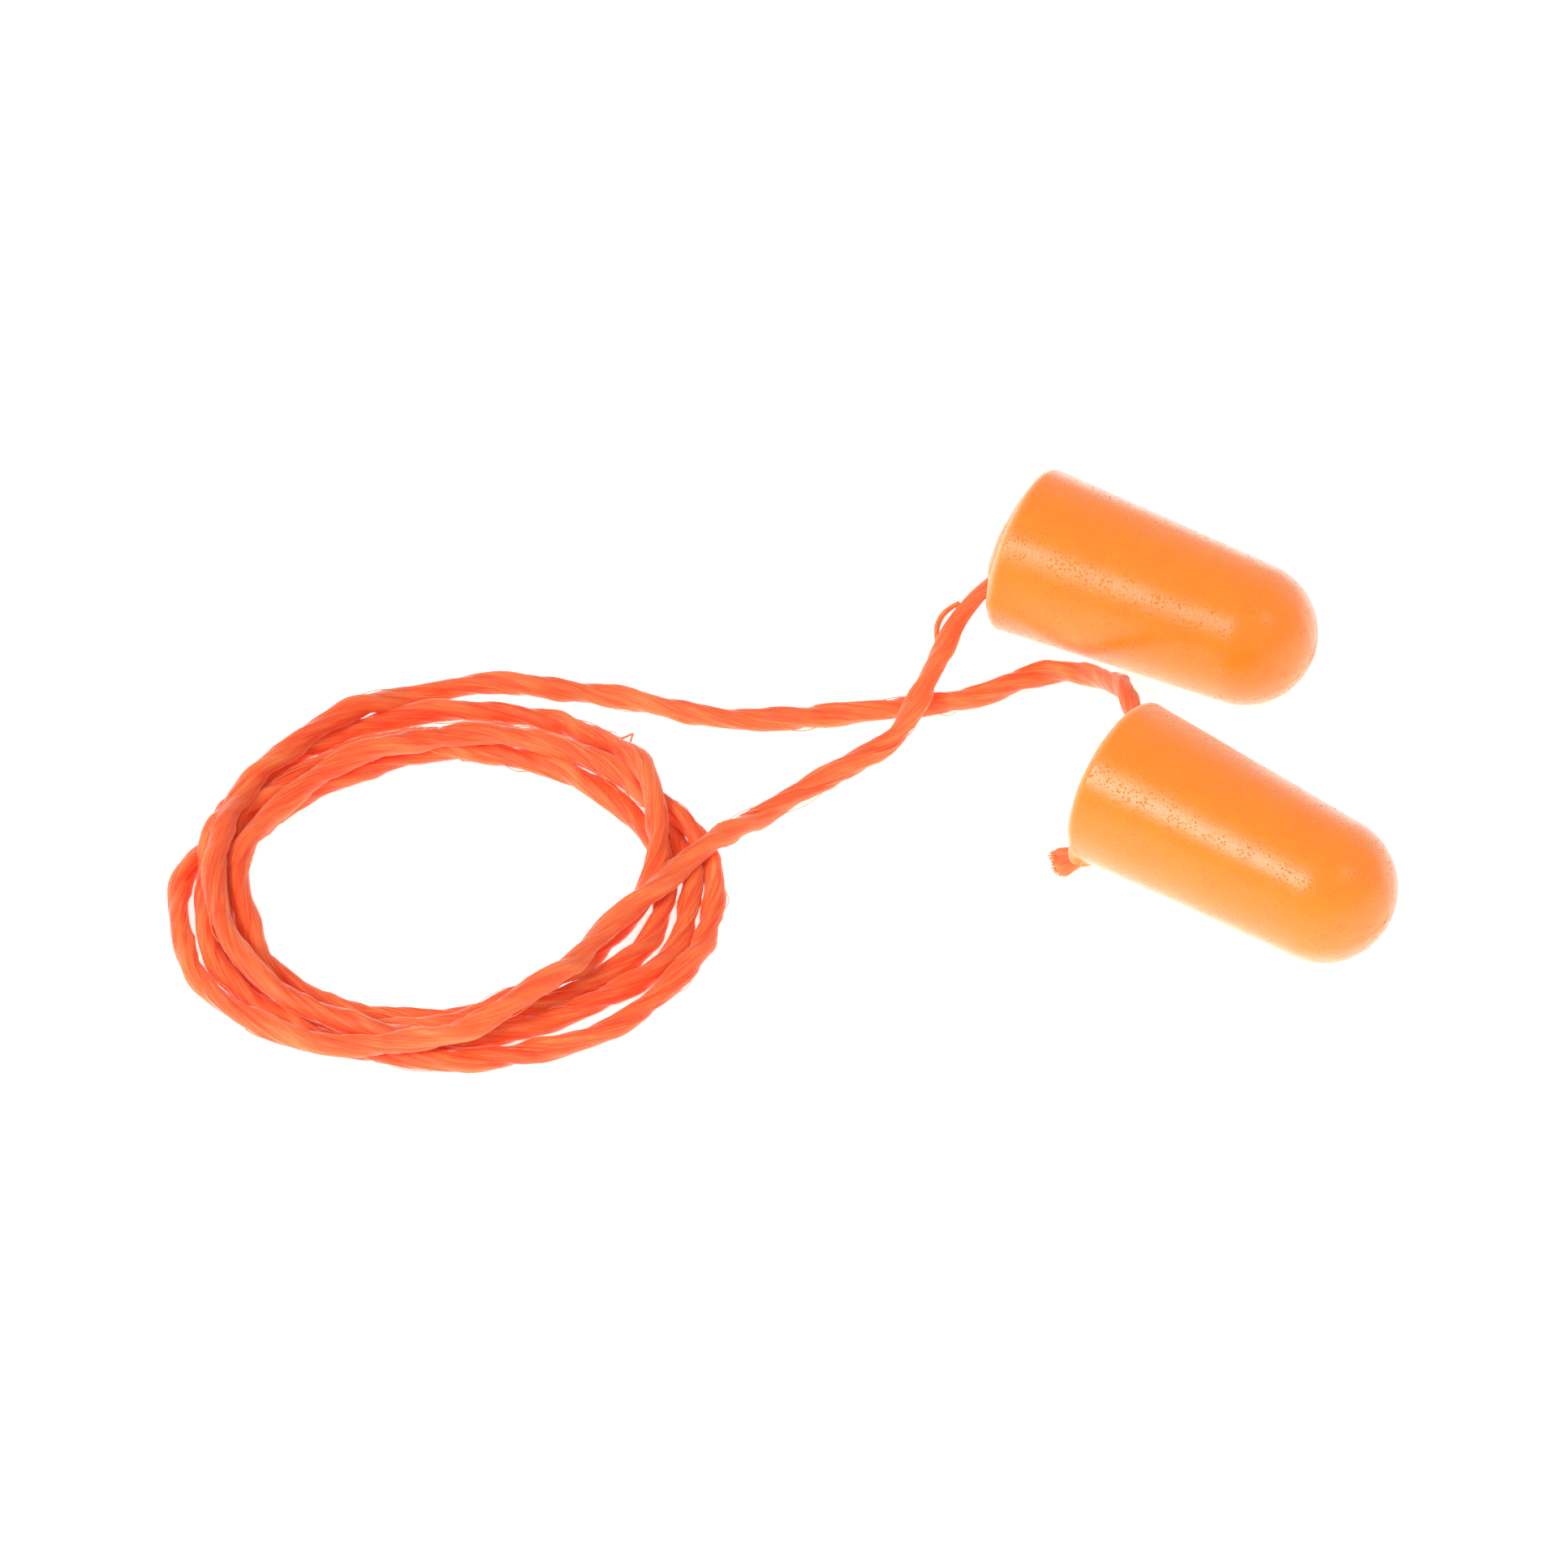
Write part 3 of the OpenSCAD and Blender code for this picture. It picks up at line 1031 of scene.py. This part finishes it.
@dataclass
class Cord:
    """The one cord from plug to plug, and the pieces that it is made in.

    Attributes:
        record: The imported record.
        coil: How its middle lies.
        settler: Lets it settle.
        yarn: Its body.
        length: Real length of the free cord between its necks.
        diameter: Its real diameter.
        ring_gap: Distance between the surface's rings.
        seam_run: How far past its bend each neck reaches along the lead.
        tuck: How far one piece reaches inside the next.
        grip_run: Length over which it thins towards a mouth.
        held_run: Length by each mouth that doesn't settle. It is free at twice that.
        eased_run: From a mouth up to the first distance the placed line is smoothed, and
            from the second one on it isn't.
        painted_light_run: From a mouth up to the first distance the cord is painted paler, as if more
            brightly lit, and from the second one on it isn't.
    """

    record: Mapping[str, Any]
    coil: CoilLay = field(default_factory=CoilLay)
    settler: CordSettler = field(default_factory=CordSettler)
    yarn: Yarn = field(default_factory=Yarn)
    length: float = 0.60
    diameter: float = 1.9 * MM
    ring_gap: float = 0.36 * MM
    seam_run: float = 3.0 * MM
    tuck: float = 1.1 * MM
    grip_run: float = 9.0 * MM
    held_run: float = 22.0 * MM
    eased_run: tuple[float, float] = (12.0 * MM, 20.0 * MM)
    painted_light_run: tuple[float, float] = (45.0 * MM, 85.0 * MM)
    line: np.ndarray = field(init=False)
    run: np.ndarray = field(init=False)
    size: np.ndarray = field(init=False)

    def __post_init__(self) -> None:
        """Lays the line, lets it settle, and works out its radius along the way."""
        placed = self.placed_line()
        run = run_along(placed)
        held = (self.held_run, 2 * self.held_run)
        free = smoothstep(*held, run) * smoothstep(*held, run[-1] - run)
        settled = self.settler.settle(placed, free)
        self.line = evenly(settled, self.ring_gap)
        self.run = run_along(self.line)
        to_mouth = np.minimum(self.run, self.run[-1] - self.run)
        swell = 0.07 * ripple(self.run, 19 * MM, 0.9) + 0.035 * ripple(self.run, 7 * MM, 2.4)
        full = self.yarn.radius * (1 + swell)
        grip = smoothstep(0.0, self.grip_run, to_mouth)
        self.size = self.yarn.pinched + (full - self.yarn.pinched) * grip

    def joint_place(self, name: str) -> np.ndarray:
        """Place of one of the record's joints."""
        joint = next(j for j in self.record["behaviour"]["joints"] if j["name"] == name)
        return np.array(joint["pos_m"], float)

    def placed_line(self) -> np.ndarray:
        """The line from mouth to mouth as it was placed, before it settles.

        Returns:
            Evenly spaced points, one a row.
        """
        low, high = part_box("cord_coil")
        middle = (np.array(low) + np.array(high)) / 2
        far, near = (
            [self.joint_place(f"{side.value}_{kind}") for kind in ("tilt", "swing")] for side in Side
        )
        coiled = self.coil.points(middle, self.settler.lowest)
        points = [*far, *FAR_ROUTE, *coiled, *reversed(NEAR_ROUTE), *reversed(near)]
        line = smooth_line(np.array(points, float), self.settler.spacing)
        run = run_along(line)
        by_mouth = 1 - smoothstep(*self.eased_run, np.minimum(run, run[-1] - run))
        return line + by_mouth[:, None] * (relaxed(line, 8) - line)

    def nearest_run(self, place: np.ndarray) -> float:
        """Distance along the cord of its point nearest to a place."""
        return float(self.run[np.linalg.norm(self.line - place, axis=1).argmin()])

    def at(self, run: float) -> np.ndarray:
        """The point at that distance along the cord."""
        return np.array([np.interp(run, self.run, self.line[:, axis]) for axis in range(3)])

    def stretch(self, start: float, end: float) -> Surface:
        """The surface of one stretch of the cord, drawn in a little at both ends.

        Args:
            start: Where it begins, along the whole cord.
            end: Where it ends.

        Returns:
            Its surface.
        """
        chosen = (self.run >= start) & (self.run <= end)
        size = self.yarn.drawn_in(self.run[chosen], self.size[chosen], self.tuck)
        up = np.array([0.0, 0.0, 1.0])
        surface = self.yarn.surface(self.line[chosen], self.run[chosen], size, up)
        to_mouth = np.minimum(self.run, self.run[-1] - self.run)[chosen]
        # Painted light: paler towards each plug, as if more brightly lit there.
        faded = 1 - smoothstep(*self.painted_light_run, to_mouth)
        surface.values["faded"] = np.repeat(faded[:, None], self.yarn.columns, axis=1)
        return surface

    def seams(self) -> dict[Side, float]:
        """Where each neck's piece meets the long one, along the whole cord."""
        return {
            Side.FAR: self.nearest_run(self.joint_place("far_swing")) + self.seam_run,
            Side.NEAR: self.nearest_run(self.joint_place("near_swing")) - self.seam_run,
        }

    def bend_with_neck(self, piece: bpy.types.Object, side: Side) -> None:
        """Bakes a piece's place into its mesh; it doesn't make the piece bend, and the swing joint's place
        along the cord is found but not used.
        """
        bend = self.nearest_run(self.joint_place(f"{side.value}_swing"))
        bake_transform(piece)

    def build_neck(self, side: Side, material: bpy.types.Material) -> bpy.types.Object:
        """Makes the short stretch that bends between a mouth and its lead.

        Args:
            side: Which plug's neck.
            material: The cord's finish.

        Returns:
            The new piece.
        """
        seam = self.seams()[side]
        span = (0.0, seam + self.tuck) if side is Side.FAR else (seam - self.tuck, self.run[-1])
        piece = self.stretch(*span).build(f"cord_bend_{side.value}", material)
        self.bend_with_neck(piece, side)
        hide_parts(f"cord_neck_{side.value}")
        return piece

    def build_long(
        self, material: bpy.types.Material
    ) -> bpy.types.Object:
        """Makes the two leads and the coil between them as one piece.

        Args:
            material: The cord's finish.

        Returns:
            The new piece.
        """
        seams = self.seams()
        start, end = seams[Side.FAR] - self.tuck, seams[Side.NEAR] + self.tuck
        piece = self.stretch(start, end).build("cord_leads_and_coil", material)
        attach(piece, "cord")
        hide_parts("cord_coil", "cord_lead_far", "cord_lead_near")
        chosen = self.line[(self.run >= start) & (self.run <= end)]
        LOG.info("cord between the necks: %.1f mm", (end - start) / MM)
        return piece


@dataclass
class ThreadedEnd:
    """The stretch of cord that a plug's foam holds, and its cut end.

    Attributes:
        side: Which plug.
        place: Where the plug lies.
        hole: The hole's arc.
        yarn: The cord's body.
        radius: Radius of the cord in the foam.
        tail: Length of the cut end, from inside the rounded corner.
        flare: How much wider it is at the cut, as a share of its radius.
        flare_run: Length over which it widens.
        closing: Share of its width that the last two rings have.
        paler: How much the cut's own end is lifted towards the painted highlight's colour.
        paler_run: Length over which that rises.
        faded: How pale the whole stretch is painted beside the free cord, as if more brightly lit.
        fray: Length of the filaments that spread from the cut.
        hairs: How many such filaments show.
    """

    side: Side
    place: PlugPlace
    hole: HoleArc
    yarn: Yarn
    radius: float = 0.74 * MM
    tail: float = 1.9 * MM
    flare: float = 0.42
    flare_run: float = 1.6 * MM
    closing: tuple[float, float] = (0.93, 0.7)
    paler: float = 0.6
    paler_run: float = 1.4 * MM
    faded: float = 2.6
    fray: float = 0.3 * MM
    hairs: int = 70

    def line(self) -> np.ndarray:
        """The centre-line: the hole's arc, then straight on past the corner."""
        start, end = self.hole.span
        arc = self.hole.points(self.place, np.linspace(start, end - math.radians(3), 60))
        way = unit(arc[-1] - arc[-2])
        straight = arc[-1] + np.linspace(0, self.tail, 14)[1:, None] * way
        return np.vstack([arc, straight])

    def build(self, material: bpy.types.Material) -> list[bpy.types.Object]:
        """Makes the threaded stretch and the frayed filaments at its cut end.

        Args:
            material: The cord's finish.

        Returns:
            The two new pieces.
        """
        line = evenly(self.line(), 0.25 * MM)
        run = run_along(line)
        across = self.place.across(np.array(self.place.mouth))
        normal = np.cross(across, self.place.ahead)
        size = self.radius * (1 + self.flare * smoothstep(run[-1] - self.flare_run, run[-1], run))
        size[-2:] *= self.closing
        body = self.yarn.surface(line, run, size, normal)
        # Painted light: the whole stretch is paler, as if more brightly lit, and the cut's own end takes
        # more of the painted highlight.
        body.values["faded"] = np.full(body.rings.shape[:2], self.faded)
        paler = self.paler * smoothstep(run[-1] - self.paler_run, run[-1], run)
        body.values["ridge"] = body.values["ridge"] + paler[:, None]
        core = body.build(f"cord_threaded_{self.side.value}", material)
        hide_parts(f"cord_anchor_{self.side.value}", f"cord_tail_{self.side.value}")
        strands = self.cut_strands(line[-1], unit(line[-1] - line[-2]), normal)
        frayed = strands.build(f"cord_cut_end_{self.side.value}", material)
        for piece in (core, frayed):
            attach(piece, f"plug_{self.side.value}")
        return [core, frayed]

    def cut_strands(self, end: np.ndarray, ahead: np.ndarray, normal: np.ndarray) -> "Strands":
        """Short filaments that spread a little from the cut.

        Args:
            end: Middle of the cut.
            ahead: The way that the cord points there.
            normal: A direction across it.

        Returns:
            The filaments.
        """
        picks = np.random.default_rng(31 if self.side is Side.FAR else 32)
        turn = picks.uniform(0, TURN, self.hairs)
        reach = self.radius * (1 + self.flare) * np.sqrt(picks.uniform(0.02, 0.9, self.hairs))
        other = np.cross(ahead, normal)
        across = np.cos(turn)[:, None] * normal + np.sin(turn)[:, None] * other
        share = np.linspace(0, 1, 7)[None, :, None]
        length = self.fray * picks.uniform(0.25, 1.0, self.hairs)[:, None, None]
        spread = 0.35 * share**2 * length
        root = end - 0.3 * MM * ahead + reach[:, None] * across
        lines = root[:, None] + (0.3 * MM + length) * share * ahead + spread * across[:, None]
        return Strands(lines, radius=0.055 * MM)


@dataclass
class Strands:
    """Single filaments: thin round tubes along short lines.

    Attributes:
        lines: Points, of shape (filaments, points, 3).
        radius: Radius of a filament, or one for each.
        columns: Points round a filament.
        faded: How pale a filament is painted beside the yarn, as if light passed through it.
    """

    lines: np.ndarray
    radius: float | np.ndarray = 0.03 * MM
    columns: int = 7
    faded: float = 3.6

    def build(self, name: str, material: bpy.types.Material) -> bpy.types.Object:
        """Makes every filament in one mesh.

        Each is a ring of points round every point of its line, closed by a pole at each
        end. The rings turn as the yarn's do, so the faces point inwards.

        Args:
            name: The piece's name.
            material: The cord's finish.

        Returns:
            The new piece.
        """
        ahead = unit(np.gradient(self.lines, axis=1))
        up = np.array([0.13, 0.21, 0.97])
        side = unit(np.cross(ahead, up))
        rise = np.cross(side, ahead)
        angle = np.linspace(0, TURN, self.columns, endpoint=False)[None, None, :, None]
        thick = np.broadcast_to(self.radius, len(self.lines))[:, None, None, None]
        rings = self.lines[:, :, None] + thick * (
            np.cos(angle) * rise[:, :, None] - np.sin(angle) * side[:, :, None]
        )
        count = len(self.lines)
        points = np.concatenate([rings.reshape(count, -1, 3), self.lines[:, :1], self.lines[:, -1:]], axis=1)
        placed = points.reshape(-1, 3)
        first = points.shape[1] * np.arange(count)[:, None, None]
        one = Surface(rings[0], self.lines[0, 0], self.lines[0, -1]).faces()
        faces = [(group + first).reshape(-1, group.shape[1]) for group in one]
        # Each filament takes a strong painted highlight and is painted paler than the yarn, as if lit
        # through.
        values = {
            "fibre": placed,
            "ridge": np.full(len(placed), 0.9),
            "faded": np.full(len(placed), self.faded),
        }
        return mesh_piece(name, placed, faces, values, material)


@dataclass
class StrayFilaments:
    """Filaments that have worked loose and arch off the cord's surface.

    Attributes:
        cord: The cord that they belong to.
        count: How many short ones there are along the cord.
        short: Least and greatest of what sets a short one: where it starts as a share of
            the whole cord, its angle round the cord, how far it stands off, its length
            and its radius.
        large: The same five values for each of the few that stand out as loops.
        on_neck: The same for the ones on the far plug's neck.
        wrap: Angle through which a filament goes round the cord.
    """

    cord: Cord
    count: int = 150
    short: tuple[tuple[float, float], ...] = (
        (0.02, 0.96),
        (0.0, TURN),
        (0.03 * MM, 0.22 * MM),
        (1.6 * MM, 4.2 * MM),
        (0.02 * MM, 0.045 * MM),
    )
    large: tuple[tuple[float, ...], ...] = (
        (0.0132, 2.0, 0.45 * MM, 2.2 * MM, 0.03 * MM),
        (0.5635, 4.6, 0.7 * MM, 2.2 * MM, 0.09 * MM),
    )
    on_neck: tuple[tuple[float, ...], ...] = (
        (0.0052, 1.15, 0.62 * MM, 3.3 * MM, 0.17 * MM),
        (0.0056, 1.25, 0.42 * MM, 2.9 * MM, 0.08 * MM),
    )
    wrap: float = 0.8

    def strands(self, items: np.ndarray) -> Strands:
        """The filaments' lines: each leaves the cord, arches off it and comes back.

        The distance from the cord's centre-line is its radius there plus half a sine
        wave as high as the filament stands off.

        Args:
            items: The five values of one filament a row.

        Returns:
            The filaments.
        """
        cord = self.cord
        start, turn, lift, span, radius = items.T
        share = np.linspace(0, 1, 17)[None, :]
        run = start[:, None] * cord.run[-1] + span[:, None] * share
        centre = np.stack([np.interp(run, cord.run, cord.line[:, axis]) for axis in range(3)], axis=-1)
        ahead = unit(np.gradient(centre, axis=1))
        side = unit(np.cross(ahead, np.array([0.0, 0.0, 1.0])))
        angle = (turn[:, None] + self.wrap * share)[..., None]
        out = np.cos(angle) * np.cross(side, ahead) + np.sin(angle) * side
        off = np.interp(run, cord.run, cord.size) + lift[:, None] * np.sin(math.pi * share)
        lines = centre + off[..., None] * out
        lines[..., 2] = np.maximum(lines[..., 2], 1.2 * radius[:, None])
        return Strands(lines, radius)

    def build(self, material: bpy.types.Material) -> list[bpy.types.Object]:
        """Makes the loose filaments along the cord, and those on the far plug's neck.

        Args:
            material: The cord's finish.

        Returns:
            The two new pieces.
        """
        picks = np.random.default_rng(21)
        small = np.column_stack([picks.uniform(*limits, self.count) for limits in self.short])
        along = self.strands(np.vstack([small, self.large])).build("cord_stray_filaments", material)
        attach(along, "cord")
        loops = self.strands(np.array(self.on_neck)).build("cord_neck_loops", material)
        self.cord.bend_with_neck(loops, Side.FAR)
        return [along, loops]


# --- Studio ---


@dataclass(frozen=True)
class Lamp:
    """A soft rectangular lamp that points at the object.

    Attributes:
        name: Its name.
        place: Where it hangs.
        width: Its size from left to right.
        height: Its other size.
        power: Its power in watts.
    """

    name: str
    place: tuple[float, float, float]
    width: float
    height: float
    power: float

    def hang(self, aim: Vector) -> None:
        """Makes the lamp, pointed at aim."""
        data = bpy.data.lights.new(self.name, "AREA")
        data.shape = "RECTANGLE"
        data.size, data.size_y = self.width, self.height
        data.energy = self.power
        hung = bpy.data.objects.new(self.name, data)
        hung.location = self.place
        hung.rotation_mode = "QUATERNION"
        hung.rotation_quaternion = (aim - Vector(self.place)).to_track_quat("-Z", "Y")
        bpy.context.scene.collection.objects.link(hung)


@dataclass(frozen=True)
class Studio:
    """A white table, soft light from all round, two soft lamps, and the camera.

    Attributes:
        aim: The point that the camera looks at.
        elevation: Its height over the table, as an angle.
        distance: Its distance from that point.
        lens: Its focal length in millimetres on a sensor 36 mm wide.
        sky: Brightness of the light from all round.
        lamps: The soft lamps.
    """

    aim: tuple[float, float, float] = (-0.03025, -0.00115, 0.0)
    elevation: float = math.radians(44)
    distance: float = 0.96
    lens: float = 294.4
    sky: float = 0.6
    lamps: tuple[Lamp, ...] = (
        Lamp("left_lamp", (-0.551, -0.415, 0.608), 0.3, 0.3, 4.2),
        Lamp("right_lamp", (0.476, -0.279, 0.691), 0.15, 0.15, 0.55),
    )

    def build_camera(self) -> None:
        """Makes the camera and sets it as the scene's own."""
        data = bpy.data.cameras.new("camera")
        data.lens = self.lens
        data.sensor_width = 36.0
        data.clip_start, data.clip_end = 0.05, 20.0
        camera = bpy.data.objects.new("camera", data)
        back = Vector((0.0, -math.cos(self.elevation), math.sin(self.elevation)))
        camera.location = Vector(self.aim) + self.distance * back
        camera.rotation_mode = "QUATERNION"
        camera.rotation_quaternion = (-back).to_track_quat("-Z", "Y")
        bpy.context.scene.collection.objects.link(camera)
        bpy.context.scene.camera = camera

    def build_floor(self, material: bpy.types.Material) -> None:
        """Makes the table's top, just under everything."""
        half, drop = 3.0, 0.02 * MM
        signs = ((-1, -1), (1, -1), (1, 1), (-1, 1))
        corners = np.array([(across * half, along * half, -drop) for across, along in signs])
        floor = mesh_piece("table_top", corners, (np.array([[0, 1, 2, 3]]),), {}, material)

    def build_light(self) -> None:
        """Makes the light from all round and the lamps, and sets plain colours."""
        scene = bpy.context.scene
        world = bpy.data.worlds.new("studio")
        world.use_nodes = True
        sky = world.node_tree.nodes["Background"]
        sky.inputs["Color"].default_value = (1.0, 1.0, 1.0, 1.0)
        sky.inputs["Strength"].default_value = self.sky
        scene.world = world
        scene.view_settings.view_transform = "Standard"
        for lamp in self.lamps:
            lamp.hang(Vector(self.aim))


# --- The whole object ---


def main() -> None:
    """Builds the camera, the cord, the plugs and the studio, in that order."""
    logging.basicConfig(level=logging.INFO, format="%(name)s: %(message)s")
    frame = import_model()
    record = frame["record"]
    studio = Studio()
    studio.build_camera()
    foam = FoamFinish().material()
    yarn_finish = CordFinish().material()
    cord = Cord(record)
    hole = HoleArc()
    mouths = {Side.FAR: math.pi, Side.NEAR: math.pi / 4}
    on_cord = [cord.build_neck(side, yarn_finish) for side in Side]
    on_cord += StrayFilaments(cord).build(yarn_finish)
    places = {side: PlugPlace.from_record(record, side, mouths[side], hole.mouth_offset) for side in Side}
    for side in Side:
        on_cord += ThreadedEnd(side, places[side], hole, cord.yarn).build(yarn_finish)
    pieces = [cord.build_long(yarn_finish), *on_cord]
    crowns = {Side.FAR: 1.1 * MM, Side.NEAR: 0.2 * MM}
    pieces += [FoamPlug(side, places[side], hole, crown=crowns[side]).build(foam) for side in Side]
    for piece in pieces:
        LOG.info("%s: %d faces", piece.name, len(piece.data.polygons))
    studio.build_floor(FloorFinish().material())
    studio.build_light()


if __name__ == "__main__":
    main()
